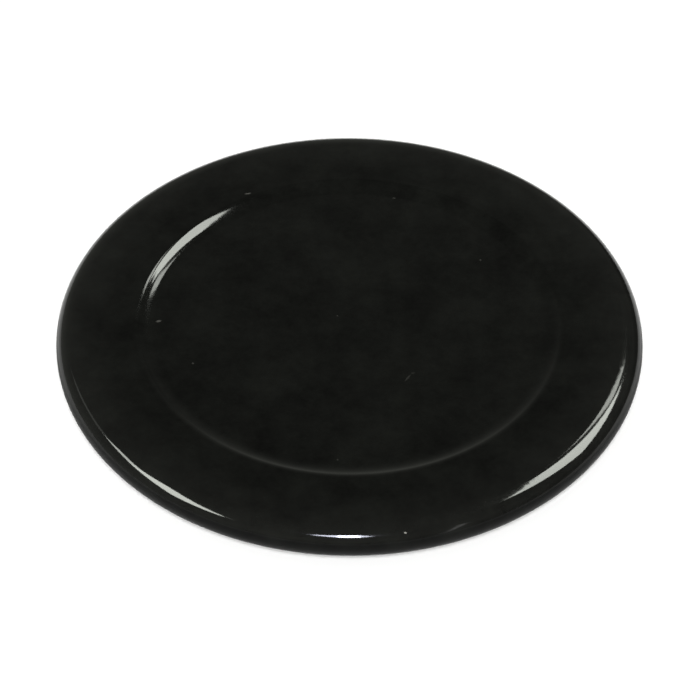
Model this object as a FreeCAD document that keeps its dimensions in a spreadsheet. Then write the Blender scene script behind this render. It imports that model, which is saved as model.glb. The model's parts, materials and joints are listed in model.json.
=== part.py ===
import FreeCAD, Part
import math
import os

import Sketcher

# Gas burner cap: one thick round of steel, pressed to shape and enamelled all over.
#
# The top is flat with a shallow dish, whose wall is an ogee of two arcs. The edge is a full round
# that a softer shoulder leads into from the top. Underneath is the flat ring that sits on the
# burner, and inside it a low round boss that keeps the cap centred there.
#
# Millimetres, +Z up. The origin is on the axis, on the underside of the boss.

DIMENSIONS = {
    "cap_diameter": 75.0,
    "rim_thickness": 4.4,
    # Outer edge: the soft shoulder, by its radius and how far it reaches in from the round nose
    "edge_shoulder_radius": 4.5,
    "edge_shoulder_width": 1.2,
    # Dish in the top: its diameter is that of its lip, where the flat rim ends
    "dish_diameter": 55.2,
    "dish_depth": 0.57,
    "dish_shoulder_radius": 2.0,
    "dish_root_radius": 4.4,
    # Boss underneath: the lead-in is the width and height of the chamfer round its foot
    "boss_diameter": 50.0,
    "boss_height": 1.5,
    "boss_lead_in": 0.6,
}

SHEET = "dimensions"
NODE = "burner_cap"

# Places on a sketch curve, and the sketch's own origin, as the sketcher numbers them
START, END, CENTRE = 1, 2, 3
ORIGIN = (-1, START)

# Directions in the section, in degrees: out from the axis, up, and down
OUT, UP, DOWN = 0, 90, 270
FULL_TURN = 360

# Arcs that hollow the solid, which the section passes from their end to their start
HOLLOW_ARCS = ("dish_root",)
# Lines that turn a sharp corner into the next one
CORNERED_LINES = ("boss_face", "boss_lead_in", "boss_wall", "dish_floor", "axis")
LEVEL_LINES = ("boss_face", "seat", "rim", "dish_floor")
UPRIGHT_LINES = ("boss_wall", "axis")


def make_sheet(doc):
    """The driving dimensions, one row each: name, then value."""
    sheet = doc.addObject("Spreadsheet::Sheet", SHEET)
    for row, (name, value) in enumerate(DIMENSIONS.items(), start=1):
        sheet.set(f"A{row}", name)
        sheet.set(f"B{row}", str(value))
        sheet.setAlias(f"B{row}", name)
    doc.recompute()
    return sheet


def point(radius, height):
    """A point of the half section: distance from the axis, and height."""
    return FreeCAD.Vector(radius, height, 0)


def line(start, end):
    return Part.LineSegment(start, end)


def arc(centre, radius, first_angle, last_angle):
    """An arc of the half section, counter-clockwise between two directions in degrees."""
    circle = Part.Circle(centre, FreeCAD.Vector(0, 0, 1), radius)
    return Part.ArcOfCircle(circle, math.radians(first_angle), math.radians(last_angle))


def section_curves(size):
    """The half section by name, counter-clockwise: out underneath, up round the edge, in along the top."""
    seat_height = size.boss_height
    top_height = seat_height + size.rim_thickness
    floor_height = top_height - size.dish_depth

    # Boss: its wall stands on a chamfer and meets the seat square
    boss_radius = size.boss_diameter / 2
    face_end = point(boss_radius - size.boss_lead_in, 0)
    wall_foot = point(boss_radius, size.boss_lead_in)
    seat_start = point(boss_radius, seat_height)

    # Edge: the nose touches the seat below and runs into the shoulder above
    sweep = math.asin(size.edge_shoulder_width / size.edge_shoulder_radius)
    shoulder_drop = size.edge_shoulder_radius * (1 - math.cos(sweep))
    nose_radius = (size.rim_thickness - shoulder_drop) / (1 + math.cos(sweep))
    seat_end = size.cap_diameter / 2 - nose_radius
    rim_end = seat_end + nose_radius * math.sin(sweep) - size.edge_shoulder_width
    nose_centre = point(seat_end, seat_height + nose_radius)
    edge_shoulder_centre = point(rim_end, top_height - size.edge_shoulder_radius)
    nose_top_angle = UP - math.degrees(sweep)

    # Dish: the two arcs of the ogee meet where the wall is steepest
    dish_radius = size.dish_diameter / 2
    ogee_radii = size.dish_shoulder_radius + size.dish_root_radius
    slope = math.acos(1 - size.dish_depth / ogee_radii)
    floor_end = dish_radius - ogee_radii * math.sin(slope)
    dish_shoulder_centre = point(dish_radius, top_height - size.dish_shoulder_radius)
    dish_root_centre = point(floor_end, floor_height + size.dish_root_radius)
    slope_angle = math.degrees(slope)

    return {
        "boss_face": line(point(0, 0), face_end),
        "boss_lead_in": line(face_end, wall_foot),
        "boss_wall": line(wall_foot, seat_start),
        "seat": line(seat_start, point(seat_end, seat_height)),
        "nose_bottom": arc(nose_centre, nose_radius, DOWN, FULL_TURN),
        "nose_top": arc(nose_centre, nose_radius, OUT, nose_top_angle),
        "edge_shoulder": arc(edge_shoulder_centre, size.edge_shoulder_radius, nose_top_angle, UP),
        "rim": line(point(rim_end, top_height), point(dish_radius, top_height)),
        "dish_shoulder": arc(dish_shoulder_centre, size.dish_shoulder_radius, UP, UP + slope_angle),
        "dish_root": arc(dish_root_centre, size.dish_root_radius, DOWN, DOWN + slope_angle),
        "dish_floor": line(point(floor_end, floor_height), point(0, floor_height)),
        "axis": line(point(0, floor_height), point(0, 0)),
    }


def join_curves(sketch, index):
    """Joins each curve to the next one round the section, smoothly but for the corners."""
    names = list(index)
    for name, following in zip(names, names[1:] + names[:1]):
        leaving = START if name in HOLLOW_ARCS else END
        entering = END if following in HOLLOW_ARCS else START
        kind = "Coincident" if name in CORNERED_LINES else "Tangent"
        sketch.addConstraint(Sketcher.Constraint(kind, index[name], leaving, index[following], entering))


def set_directions(sketch, index):
    """Stands the section on the origin, keeps its lines level or upright and its nose one round."""
    sketch.addConstraint(Sketcher.Constraint("Coincident", index["boss_face"], START, *ORIGIN))
    for name in LEVEL_LINES:
        sketch.addConstraint(Sketcher.Constraint("Horizontal", index[name]))
    for name in UPRIGHT_LINES:
        sketch.addConstraint(Sketcher.Constraint("Vertical", index[name]))
    nose = index["nose_bottom"]
    sketch.addConstraint(Sketcher.Constraint("Equal", nose, index["nose_top"]))
    sketch.addConstraint(Sketcher.Constraint("Horizontal", nose, CENTRE, nose, END))


def bind(sketch, kind, places, expression):
    """Adds a dimension of the sketch that the sheet drives."""
    value = sketch.evalExpression(expression)
    number = sketch.addConstraint(Sketcher.Constraint(kind, *places, value))
    sketch.setExpression(f"Constraints[{number}]", expression)


def set_sizes(sketch, index):
    """Ties the section's sizes to the sheet."""
    outermost = (index["nose_bottom"], END)
    seat = (index["seat"], START)
    rim = (index["rim"], START)
    dish_lip = (index["rim"], END)
    dish_floor = (index["dish_floor"], START)
    wall_foot = (index["boss_wall"], START)
    edge_shoulder = index["edge_shoulder"]
    lead_in = index["boss_lead_in"]

    for diameter, place in (
        ("cap_diameter", outermost),
        ("dish_diameter", dish_lip),
        ("boss_diameter", wall_foot),
    ):
        bind(sketch, "DistanceX", ORIGIN + place, f"{SHEET}.{diameter} / 2")
    for height, lower, upper in (
        ("boss_height", ORIGIN, seat),
        ("rim_thickness", seat, rim),
        ("dish_depth", dish_floor, rim),
    ):
        bind(sketch, "DistanceY", lower + upper, f"{SHEET}.{height}")
    shoulder_ends = (edge_shoulder, END, edge_shoulder, START)
    bind(sketch, "DistanceX", shoulder_ends, f"{SHEET}.edge_shoulder_width")
    for direction in ("DistanceX", "DistanceY"):
        bind(sketch, direction, (lead_in, START, lead_in, END), f"{SHEET}.boss_lead_in")
    for curve in ("edge_shoulder", "dish_shoulder", "dish_root"):
        bind(sketch, "Radius", (index[curve],), f"{SHEET}.{curve}_radius")


def make_cap(doc, sheet):
    """The cap: its half section, turned about the axis."""
    body = doc.addObject("PartDesign::Body", NODE)
    plane = next(item for item in body.Origin.OriginFeatures if item.Role == "XZ_Plane")

    section = body.newObject("Sketcher::SketchObject", "section")
    section.AttachmentSupport = (plane, [""])
    section.MapMode = "FlatFace"
    index = {name: section.addGeometry(curve) for name, curve in section_curves(sheet).items()}
    join_curves(section, index)
    set_directions(section, index)
    set_sizes(section, index)
    doc.recompute()

    turned = body.newObject("PartDesign::Revolution", "turned_section")
    turned.Profile = section
    turned.ReferenceAxis = (section, ["V_Axis"])
    turned.Angle = FULL_TURN
    doc.recompute()
    return body


def check(doc, body):
    """Stops before anything is written if an object failed or the cap isn't one sound solid."""
    for item in doc.Objects:
        if "Invalid" in item.State or "Error" in item.State:
            raise RuntimeError(f"{item.Label} failed: {item.State}")
    shape = body.Shape
    if shape.isNull() or not shape.isValid():
        raise RuntimeError(f"{body.Label} has no valid shape")
    if len(shape.Solids) != 1:
        raise RuntimeError(f"{body.Label} is {len(shape.Solids)} solids, not one")


document = FreeCAD.newDocument("gas_burner_cap")
cap = make_cap(document, make_sheet(document))
check(document, cap)
os.makedirs("parts", exist_ok=True)
cap.Shape.exportStep(os.path.join("parts", f"{cap.Label}.step"))
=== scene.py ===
import json
import math

import bpy
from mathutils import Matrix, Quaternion, Vector


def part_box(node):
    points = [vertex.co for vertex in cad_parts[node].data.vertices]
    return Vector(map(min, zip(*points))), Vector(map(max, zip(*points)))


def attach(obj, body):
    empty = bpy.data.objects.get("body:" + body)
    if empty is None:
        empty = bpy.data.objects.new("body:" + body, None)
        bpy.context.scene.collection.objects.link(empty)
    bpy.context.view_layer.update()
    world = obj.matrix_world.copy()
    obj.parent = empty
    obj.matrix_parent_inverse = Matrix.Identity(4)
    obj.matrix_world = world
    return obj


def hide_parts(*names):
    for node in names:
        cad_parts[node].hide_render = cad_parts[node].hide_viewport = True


# Gas burner cap: one thick round of pressed steel under gloss black enamel, lying on a white table.
#
# The cap's half section is drawn as a line of runs and arcs, then spun round the axis in steps so fine
# that the gloss mirrors the lamps without facets. Metres, +Z up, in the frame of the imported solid.

MM = 0.001

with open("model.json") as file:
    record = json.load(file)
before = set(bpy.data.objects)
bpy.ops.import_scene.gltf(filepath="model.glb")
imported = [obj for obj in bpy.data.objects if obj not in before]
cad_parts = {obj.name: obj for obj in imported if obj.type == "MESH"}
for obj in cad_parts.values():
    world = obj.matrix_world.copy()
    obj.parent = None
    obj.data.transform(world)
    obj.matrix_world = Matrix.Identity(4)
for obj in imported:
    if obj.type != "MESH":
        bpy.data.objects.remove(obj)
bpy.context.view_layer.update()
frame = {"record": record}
mounts = {mount["name"]: mount for mount in frame["record"]["mounts"]}

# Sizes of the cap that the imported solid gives
_, cap_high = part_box("burner_cap")
CAP_RADIUS = cap_high.x
TOP = cap_high.z
SEAT = mounts["seat"]["pos_m"][2]
BOSS_RADIUS = mounts["boss"]["dims"]["r_mm"] * MM
BOSS_LEAD_IN = SEAT - mounts["boss"]["dims"]["length_mm"] * MM

# Section of the top, as it is pressed
EDGE_SHOULDER_RADIUS = 4.5 * MM
EDGE_SHOULDER_WIDTH = 1.2 * MM
DISH_RADIUS = 27.6 * MM
DISH_DEPTH = 0.57 * MM
DISH_SHOULDER_RADIUS = 2.0 * MM
DISH_ROOT_RADIUS = 4.4 * MM

# How finely the section and the spin are divided
TURN_STEPS = 288
ARC_STEP = math.radians(2.5)
HOLDING_EDGE = 0.15 * MM
MERGE_DISTANCE = 0.001 * MM
SHARP_ANGLE = math.radians(30)

# Enamel: the darkest and the lightest of its mottled ground, the painted sheen added to it towards the edge,
# and the colour of the dust and of the painted glint
GROUND_DARK = "#010101"
GROUND_LIGHT = "#10110f"
EDGE_SHEEN_COLOUR = "#0f0f0e"
DUST_AND_GLINT_COLOUR = "#8f8e88"

# Mottle of the ground: how wide a patch is, and the noise at its darkest and its lightest
MOTTLE_WIDTH = 7 * MM
MOTTLE_DARK, MOTTLE_LIGHT = 0.3, 0.7

# Waves of the glass: how wide and how high
FLOW_WIDTH, FLOW_HEIGHT = 12 * MM, 0.05 * MM
RIPPLE_WIDTH, RIPPLE_HEIGHT = 1.2 * MM, 0.005 * MM

# Where the painted sheen towards the edge starts, and the heights between which the duller side gives way to
# the glossy top
EDGE_SHEEN_RADIUS = 30 * MM
FLANK = TOP - 1.5 * MM
FLANK_TOP = TOP - 1.05 * MM

# Roughness of the top at its least and its most, what the side adds to that, and how strongly each mirrors
TOP_ROUGHNESS_LEAST, TOP_ROUGHNESS_MOST = 0.06, 0.09
SIDE_ROUGHNESS_ADDED = 0.35
SIDE_MIRROR, TOP_MIRROR = 0.2, 0.5
# Glass has an IOR of about 1.5. This coat mirrors the white table more weakly than that, so it is lower.
ENAMEL_IOR = 1.3

# Dust on the enamel, a few specks and a hair in two pieces, and last a painted glint on the front of the
# edge,
# in millimetres: where each lies, its length and width, its turn in degrees, and how much of the enamel it
# covers
DUST_AND_GLINT = (
    (-13.69, 24.42, 5.9, 0.95, 0.32, 12, 0.22),
    (-24.43, 0.21, 5.33, 0.75, 0.40, 20, 0.22),
    (5.85, 24.31, 5.33, 0.45, 0.26, 10, 0.12),
    (17.07, 12.15, 5.33, 0.30, 0.36, 0, 0.10),
    (-1.57, 1.40, 5.33, 0.26, 0.30, 0, 0.09),
    (-19.71, -7.45, 5.33, 0.36, 0.34, 0, 0.10),
    (7.35, -9.81, 5.33, 1.50, 0.30, 58, 0.06),
    (8.00, -8.95, 5.33, 0.60, 0.40, 20, 0.03),
    (-1.36, -24.07, 5.33, 0.26, 0.30, 0, 0.07),
    # Painted glint: a pale spot where a tiny bump on the front of the edge catches the flash.
    (6.79, -36.03, 5.35, 0.36, 0.20, 0, 1.0),
)
# How far up and down each speck reaches, and the shares of its half size between which it thins out
SPECK_REACH = 0.57 * MM
SPECK_CORE, SPECK_END = 0.5, 1.1

# Table: its width, the card's colour, and how much the card is lifted
TABLE_WIDTH = 6.0
CARD_COLOUR = "#f4f4f4"
CARD_LIFT = 0.1

# Colours of the light
DAYLIGHT = "#fbfff6"
FLASH = "#ebeeff"
ROOM_LIGHT = "#fbfef2"
WHITE = "#ffffff"

# Lit panels, as the cap sees them: the azimuth and elevation of the lower two corners and the upper two,
# in degrees, then brightness and colour
PANEL_DISTANCE = 2.5
PANELS = {
    "right_window": (((54.4, 43.1), (11.9, 40.8), (64.2, 57.7), (13.7, 64.8)), 24.5, DAYLIGHT),
    "right_side_pane": (((63.0, 42.9), (59.5, 47.0), (75.7, 46.6), (73.0, 51.1)), 15.0, DAYLIGHT),
    "left_window": (((201.6, 36.0), (172.3, 42.8), (221.0, 44.8), (171.6, 58.6)), 31.0, DAYLIGHT),
    "left_side_pane": (((172.2, 43.2), (155.9, 43.4), (171.9, 50.0), (155.5, 50.0)), 22.0, DAYLIGHT),
    "left_dim_pane": (((155.3, 42.3), (134.0, 36.0), (155.3, 48.5), (134.0, 42.3)), 1.4, DAYLIGHT),
    "camera_flash": (((-85.4, 47.0), (-95.0, 48.0), (-85.0, 61.5), (-95.5, 60.5)), 140.0, FLASH),
    "flash_right_end": (((-80.5, 50.5), (-85.2, 48.0), (-80.2, 54.5), (-84.8, 60.5)), 45.0, FLASH),
    "flash_left_end": (((-95.2, 48.5), (-105.0, 52.0), (-95.7, 60.0), (-105.5, 55.0)), 52.0, FLASH),
    "dim_strip": (((-48.5, 27.5), (-59.5, 1.0), (-48.5, 35.5), (-59.5, 7.0)), 2.5, WHITE),
}

# Key light, for the matte surfaces: azimuth, elevation and width in degrees, and strength
KEY_AZIMUTH, KEY_ELEVATION, KEY_WIDTH = -90, 50, 16
KEY_STRENGTH = 3.7

# Room: its brightness at the table's level and where it is dimmest, and how high that is. Heights and
# places to the side are taken on a sphere of radius 1.
ROOM_LOW, ROOM_DIMMEST = 0.4, 0.183
HALFWAY_UP = 0.76
# Right side of the room: where it begins and where it is full, the heights between which it lightens,
# and the share of the light that it has at each
RIGHT_START, RIGHT_FULL = 0.1, 0.42
RIGHT_LOW, RIGHT_HIGH = 0.27, 0.45
RIGHT_LOW_SHARE, RIGHT_HIGH_SHARE = 0.2, 0.7

# Camera: where it stands from the middle of the top, what it looks at, its roll and its lens
CAMERA_AZIMUTH, CAMERA_ELEVATION = -90, 43.64
CAMERA_DISTANCE = 375 * MM
CAMERA_AIM = Vector((0.076, -2.624, 3.148)) * MM
CAMERA_ROLL = math.radians(0.35)
CAMERA_SENSOR = 36.0
CAMERA_LENS = 151.0

# Sockets of the node that mixes colours: the second one's share, the two colours, and what comes out
SHARE, FIRST, SECOND, MIXED = 0, 6, 7, 2


# The cap


def start_section():
    """Begins a section: one vertex at the origin, in edit mode."""
    bpy.ops.object.select_all(action="DESELECT")
    bpy.ops.mesh.primitive_circle_add(vertices=3, radius=BOSS_RADIUS)
    bpy.ops.object.mode_set(mode="EDIT")
    bpy.ops.mesh.select_all(action="SELECT")
    bpy.ops.mesh.merge(type="CENTER")


def step(outward, upward):
    """Draws a straight piece of the section from its end."""
    bpy.ops.mesh.extrude_vertices_move(TRANSFORM_OT_translate={"value": (outward, 0, upward)})


def flat_run(length):
    """Draws a level run outwards, or inwards if negative, with a holding edge at both ends."""
    hold = math.copysign(HOLDING_EDGE, length)
    for piece in (hold, length - 2 * hold, hold):
        step(piece, 0)


def bend(centre, angle):
    """Draws an arc about a centre in the section, counter-clockwise, or clockwise if negative."""
    radius, height = centre
    steps = math.ceil(abs(angle) / ARC_STEP)
    bpy.ops.mesh.spin(steps=steps, angle=angle, center=(radius, 0, height), axis=(0, 1, 0))


def make_cap():
    """The cap, spun from its half section: out underneath, up round the edge and in along the top."""
    sweep = math.asin(EDGE_SHOULDER_WIDTH / EDGE_SHOULDER_RADIUS)
    shoulder_drop = EDGE_SHOULDER_RADIUS * (1 - math.cos(sweep))
    nose_radius = (TOP - SEAT - shoulder_drop) / (1 + math.cos(sweep))
    seat_end = CAP_RADIUS - nose_radius
    rim_end = seat_end + nose_radius * math.sin(sweep) - EDGE_SHOULDER_WIDTH

    ogee_radii = DISH_SHOULDER_RADIUS + DISH_ROOT_RADIUS
    slope = math.acos(1 - DISH_DEPTH / ogee_radii)
    floor_end = DISH_RADIUS - ogee_radii * math.sin(slope)
    floor_height = TOP - DISH_DEPTH

    start_section()
    flat_run(BOSS_RADIUS - BOSS_LEAD_IN)
    step(BOSS_LEAD_IN, BOSS_LEAD_IN)
    step(0, SEAT - BOSS_LEAD_IN)
    flat_run(seat_end - BOSS_RADIUS)
    bend((seat_end, SEAT + nose_radius), math.pi - sweep)
    bend((rim_end, TOP - EDGE_SHOULDER_RADIUS), sweep)
    flat_run(DISH_RADIUS - rim_end)
    bend((DISH_RADIUS, TOP - DISH_SHOULDER_RADIUS), slope)
    bend((floor_end, floor_height + DISH_ROOT_RADIUS), -slope)
    flat_run(-floor_end)

    bpy.ops.mesh.select_all(action="SELECT")
    bpy.ops.mesh.spin(steps=TURN_STEPS, angle=2 * math.pi, center=(0, 0, 0), axis=(0, 0, 1))
    bpy.ops.mesh.select_all(action="SELECT")
    bpy.ops.mesh.remove_doubles(threshold=MERGE_DISTANCE)
    bpy.ops.mesh.normals_make_consistent(inside=False)
    bpy.ops.object.mode_set(mode="OBJECT")
    bpy.ops.object.shade_smooth_by_angle(angle=SHARP_ANGLE)

    cap = bpy.context.object
    cap.name = "enamelled_cap"
    return cap


# Materials


def linear(hex_colour):
    """An sRGB hex colour as linear RGBA."""
    channels = [int(hex_colour[place:place + 2], 16) / 255 for place in (1, 3, 5)]
    return [c / 12.92 if c <= 0.04045 else ((c + 0.055) / 1.055) ** 2.4 for c in channels] + [1.0]


def add(tree, kind, inputs, **settings):
    """Adds a node with its settings. An input is a value, or the output that feeds it."""
    node = tree.nodes.new(kind)
    for name, value in settings.items():
        setattr(node, name, value)
    for name, value in inputs.items():
        if isinstance(value, bpy.types.NodeSocket):
            tree.links.new(value, node.inputs[name])
        else:
            node.inputs[name].default_value = value
    return node


def new_material(name):
    """An empty node material, with its tree."""
    material = bpy.data.materials.new(name)
    material.use_nodes = True
    material.node_tree.nodes.clear()
    return material, material.node_tree


def dust_and_glint_cover(tree, place):
    """How much of the enamel is covered, 0 to 1, by the dust, a few specks and a hair, and by the painted
    glint.
    """
    cover = 0.0
    for x, y, z, length, width, turn, amount in DUST_AND_GLINT:
        spot = add(
            tree,
            "ShaderNodeMapping",
            {
                "Vector": place,
                "Location": (x * MM, y * MM, z * MM),
                "Rotation": (0, 0, math.radians(turn)),
                "Scale": (length / 2 * MM, width / 2 * MM, SPECK_REACH),
            },
            vector_type="TEXTURE",
        )
        share = add(tree, "ShaderNodeVectorMath", {0: spot.outputs["Vector"]}, operation="LENGTH")
        speck = add(
            tree,
            "ShaderNodeMapRange",
            {
                "Value": share.outputs["Value"],
                "From Min": SPECK_CORE,
                "From Max": SPECK_END,
                "To Min": amount,
                "To Max": 0.0,
            },
        ).outputs["Result"]
        cover = add(tree, "ShaderNodeMath", {0: cover, 1: speck}, operation="MAXIMUM").outputs["Value"]
    return cover


def enamel_colour(tree, place, mottle, on_top):
    """A faintly mottled black ground, with a little dust and a painted glint on it.

    Round the top of the edge, a painted sheen makes the glass a little paler.
    """
    shade = add(
        tree,
        "ShaderNodeMapRange",
        {"Value": mottle, "From Min": MOTTLE_DARK, "From Max": MOTTLE_LIGHT, "To Min": 0.0, "To Max": 1.0},
    )
    ground = add(
        tree,
        "ShaderNodeMix",
        {SHARE: shade.outputs["Result"], FIRST: linear(GROUND_DARK), SECOND: linear(GROUND_LIGHT)},
        data_type="RGBA",
    )
    level = add(tree, "ShaderNodeVectorMath", {0: place, 1: (1, 1, 0)}, operation="MULTIPLY")
    radius = add(tree, "ShaderNodeVectorMath", {0: level.outputs["Vector"]}, operation="LENGTH")
    # Painted sheen: the top is painted paler towards its edge.
    edge_sheen = add(
        tree,
        "ShaderNodeMapRange",
        {
            "Value": radius.outputs["Value"],
            "From Min": EDGE_SHEEN_RADIUS,
            "From Max": CAP_RADIUS,
            "To Min": 0.0,
            "To Max": on_top,
        },
    )
    with_sheen = add(
        tree,
        "ShaderNodeMix",
        {SHARE: edge_sheen.outputs["Result"], FIRST: ground.outputs[MIXED], SECOND: linear(EDGE_SHEEN_COLOUR)},
        data_type="RGBA",
        blend_type="ADD",
    )
    with_dust_and_glint = add(
        tree,
        "ShaderNodeMix",
        {SHARE: dust_and_glint_cover(tree, place), FIRST: with_sheen.outputs[MIXED], SECOND: linear(DUST_AND_GLINT_COLOUR)},
        data_type="RGBA",
    )
    return with_dust_and_glint.outputs[MIXED]


def enamel_roughness(tree, mottle, on_top):
    """A little rougher in the mottle's light patches, and much rougher on the side."""
    top = add(
        tree,
        "ShaderNodeMapRange",
        {
            "Value": mottle,
            "From Min": MOTTLE_DARK,
            "From Max": MOTTLE_LIGHT,
            "To Min": TOP_ROUGHNESS_LEAST,
            "To Max": TOP_ROUGHNESS_MOST,
        },
    ).outputs["Result"]
    duller = add(
        tree,
        "ShaderNodeMapRange",
        {
            "Value": on_top,
            "From Min": 0.0,
            "From Max": 1.0,
            "To Min": SIDE_ROUGHNESS_ADDED,
            "To Max": 0.0,
        },
    ).outputs["Result"]
    return add(tree, "ShaderNodeMath", {0: top, 1: duller}, operation="ADD").outputs["Value"]


def glass_waves(tree, place):
    """The glass flows in the kiln, which leaves a broad wave and a fine ripple on it.

    The wave bends a lamp's image a little, and the ripple frays the image's ends.
    """
    flow = add(tree, "ShaderNodeTexNoise", {"Vector": place, "Scale": 1 / FLOW_WIDTH, "Detail": 1.0})
    ripple = add(tree, "ShaderNodeTexNoise", {"Vector": place, "Scale": 1 / RIPPLE_WIDTH, "Detail": 1.0})
    flowed = add(tree, "ShaderNodeBump", {"Height": flow.outputs["Fac"], "Distance": FLOW_HEIGHT})
    rippled = add(
        tree,
        "ShaderNodeBump",
        {
            "Height": ripple.outputs["Fac"],
            "Distance": RIPPLE_HEIGHT,
            "Normal": flowed.outputs["Normal"],
        },
    )
    return rippled.outputs["Normal"]


def black_enamel():
    """Black vitreous enamel, fired on steel: glass over a black ground, so a deep black with a wet gloss.

    The flames lick the side and the underside, so below the shoulder the glass is duller.
    """
    material, tree = new_material("black_vitreous_enamel")
    place = add(tree, "ShaderNodeTexCoord", {}).outputs["Object"]
    mottle = add(
        tree,
        "ShaderNodeTexNoise",
        {"Vector": place, "Scale": 1 / MOTTLE_WIDTH, "Detail": 5.0, "Roughness": 0.75},
    ).outputs["Fac"]
    height = add(tree, "ShaderNodeSeparateXYZ", {"Vector": place}).outputs["Z"]
    on_top = add(
        tree,
        "ShaderNodeMapRange",
        {"Value": height, "From Min": FLANK, "From Max": FLANK_TOP, "To Min": 0.0, "To Max": 1.0},
    ).outputs["Result"]
    mirror = add(
        tree,
        "ShaderNodeMapRange",
        {"Value": on_top, "From Min": 0.0, "From Max": 1.0, "To Min": SIDE_MIRROR, "To Max": TOP_MIRROR},
    ).outputs["Result"]
    shader = add(
        tree,
        "ShaderNodeBsdfPrincipled",
        {
            "Base Color": enamel_colour(tree, place, mottle, on_top),
            "Roughness": enamel_roughness(tree, mottle, on_top),
            "IOR": ENAMEL_IOR,
            "Specular IOR Level": mirror,
            "Normal": glass_waves(tree, place),
        },
    )
    add(tree, "ShaderNodeOutputMaterial", {"Surface": shader.outputs["BSDF"]})
    return material


def white_card():
    """White matte card: an even, soft white that takes the cap's shadow.

    To the eye and in the gloss it is lifted a little, so that it looks clean. From below it is clear, so
    that the underside of the cap can be looked at.
    """
    material, tree = new_material("white_card")
    rays = add(tree, "ShaderNodeLightPath", {}).outputs
    seen = rays["Is Camera Ray"]
    for ray in ("Is Glossy Ray", "Is Transmission Ray"):
        seen = add(tree, "ShaderNodeMath", {0: seen, 1: rays[ray]}, operation="MAXIMUM").outputs["Value"]
    lift = add(tree, "ShaderNodeMath", {0: seen, 1: CARD_LIFT}, operation="MULTIPLY")
    card = add(tree, "ShaderNodeBsdfDiffuse", {"Color": linear(CARD_COLOUR)})
    glow = add(tree, "ShaderNodeEmission", {"Color": linear(WHITE), "Strength": lift.outputs["Value"]})
    face = add(tree, "ShaderNodeAddShader", {0: card.outputs["BSDF"], 1: glow.outputs["Emission"]})
    clear = add(tree, "ShaderNodeBsdfTransparent", {})
    below = add(tree, "ShaderNodeNewGeometry", {}).outputs["Backfacing"]
    sheet = add(tree, "ShaderNodeMixShader", {0: below, 1: face.outputs["Shader"], 2: clear.outputs["BSDF"]})
    add(tree, "ShaderNodeOutputMaterial", {"Surface": sheet.outputs["Shader"]})
    return material


def lit_cloth(name, brightness, colour):
    """White lamp cloth with the lamp on behind it: an even glow."""
    material, tree = new_material(name)
    glow = add(tree, "ShaderNodeEmission", {"Color": linear(colour), "Strength": brightness})
    add(tree, "ShaderNodeOutputMaterial", {"Surface": glow.outputs["Emission"]})
    return material


# Table, light and camera


def direction(azimuth, elevation):
    """A unit vector: azimuth in degrees from +X towards +Y, and elevation above the table."""
    turn, rise = math.radians(azimuth), math.radians(elevation)
    return Vector((math.cos(turn) * math.cos(rise), math.sin(turn) * math.cos(rise), math.sin(rise)))


def stage_plane(name, material, width=1.0):
    """A square of the stage, flat on the table's level."""
    bpy.ops.object.select_all(action="DESELECT")
    bpy.ops.mesh.primitive_plane_add(size=width)
    plane = bpy.context.object
    plane.name = name
    plane.data.materials.append(material)
    return plane


def hang_panel(name, corners, brightness, colour):
    """A lit panel. It shows in the gloss only, so that the matte light stays at a plain level."""
    panel = stage_plane(name, lit_cloth(name, brightness, colour))
    for vertex, corner in zip(panel.data.vertices, corners):
        vertex.co = PANEL_DISTANCE * direction(*corner)
    panel.visible_camera = False
    panel.visible_diffuse = False
    panel.visible_shadow = False


def hang_key():
    """A soft key light from above the camera, for the matte surfaces and the shadow."""
    key = bpy.data.objects.new("soft_key", bpy.data.lights.new("soft_key", "SUN"))
    bpy.context.scene.collection.objects.link(key)
    key.rotation_mode = "QUATERNION"
    key.rotation_quaternion = (-direction(KEY_AZIMUTH, KEY_ELEVATION)).to_track_quat("-Z", "Y")
    key.data.energy = KEY_STRENGTH
    key.data.angle = math.radians(KEY_WIDTH)
    key.visible_glossy = False


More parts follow.
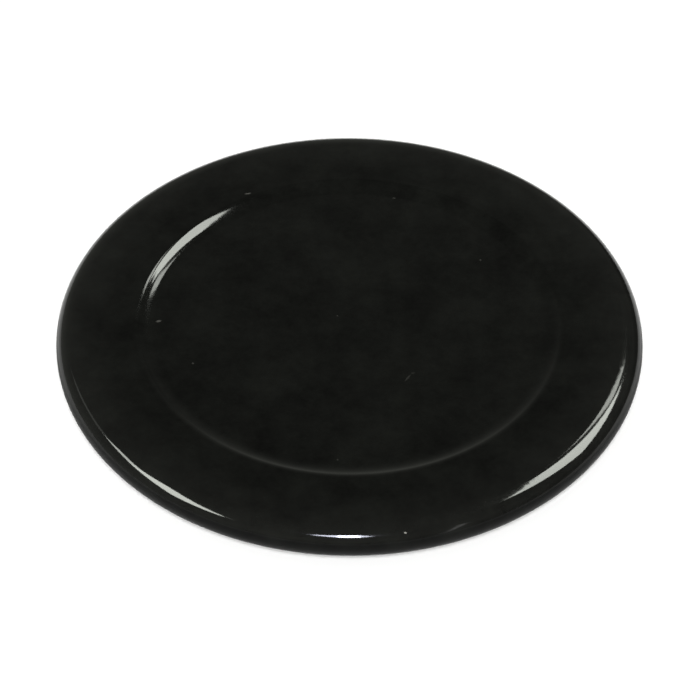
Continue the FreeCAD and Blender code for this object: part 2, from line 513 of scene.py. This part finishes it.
def light_room():
    """A dim room: lightest low down, dimmest halfway up and lighter again overhead.

    Its right side is darker, most of all low down.
    """
    world = bpy.data.worlds.new("dim_room")
    world.use_nodes = True
    tree = world.node_tree
    tree.nodes.clear()
    place = add(tree, "ShaderNodeTexCoord", {}).outputs["Generated"]
    axes = add(tree, "ShaderNodeSeparateXYZ", {"Vector": place}).outputs
    up_and_back = add(tree, "ShaderNodeMath", {0: axes["Z"], 1: HALFWAY_UP}, operation="PINGPONG")
    by_height = add(
        tree,
        "ShaderNodeMapRange",
        {
            "Value": up_and_back.outputs["Value"],
            "From Min": 0.0,
            "From Max": HALFWAY_UP,
            "To Min": ROOM_LOW,
            "To Max": ROOM_DIMMEST,
        },
    )
    right_side = add(
        tree,
        "ShaderNodeMapRange",
        {
            "Value": axes["Z"],
            "From Min": RIGHT_LOW,
            "From Max": RIGHT_HIGH,
            "To Min": RIGHT_LOW_SHARE,
            "To Max": RIGHT_HIGH_SHARE,
        },
    )
    by_side = add(
        tree,
        "ShaderNodeMapRange",
        {
            "Value": axes["X"],
            "From Min": RIGHT_START,
            "From Max": RIGHT_FULL,
            "To Min": 1.0,
            "To Max": right_side.outputs["Result"],
        },
    )
    brightness = add(
        tree,
        "ShaderNodeMath",
        {0: by_height.outputs["Result"], 1: by_side.outputs["Result"]},
        operation="MULTIPLY",
    )
    room = add(
        tree,
        "ShaderNodeBackground",
        {"Color": linear(ROOM_LIGHT), "Strength": brightness.outputs["Value"]},
    )
    add(tree, "ShaderNodeOutputWorld", {"Surface": room.outputs["Background"]})
    bpy.context.scene.world = world


def set_camera():
    """The camera, in front of the cap and above it, and a little rolled."""
    camera = bpy.data.objects.new("camera", bpy.data.cameras.new("camera"))
    bpy.context.scene.collection.objects.link(camera)
    top_middle = Vector((0, 0, TOP))
    camera.location = top_middle + CAMERA_DISTANCE * direction(CAMERA_AZIMUTH, CAMERA_ELEVATION)
    camera.rotation_mode = "QUATERNION"
    looking = (CAMERA_AIM - camera.location).to_track_quat("-Z", "Y")
    camera.rotation_quaternion = looking @ Quaternion((0, 0, 1), CAMERA_ROLL)
    camera.data.sensor_width = CAMERA_SENSOR
    camera.data.lens = CAMERA_LENS
    bpy.context.scene.camera = camera


cap = make_cap()
cap.data.materials.append(black_enamel())
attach(cap, "root")
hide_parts("burner_cap")

stage_plane("table", white_card(), TABLE_WIDTH)
for panel_name, panel in PANELS.items():
    hang_panel(panel_name, *panel)
hang_key()
light_room()
set_camera()
bpy.context.scene.view_settings.view_transform = "Standard"
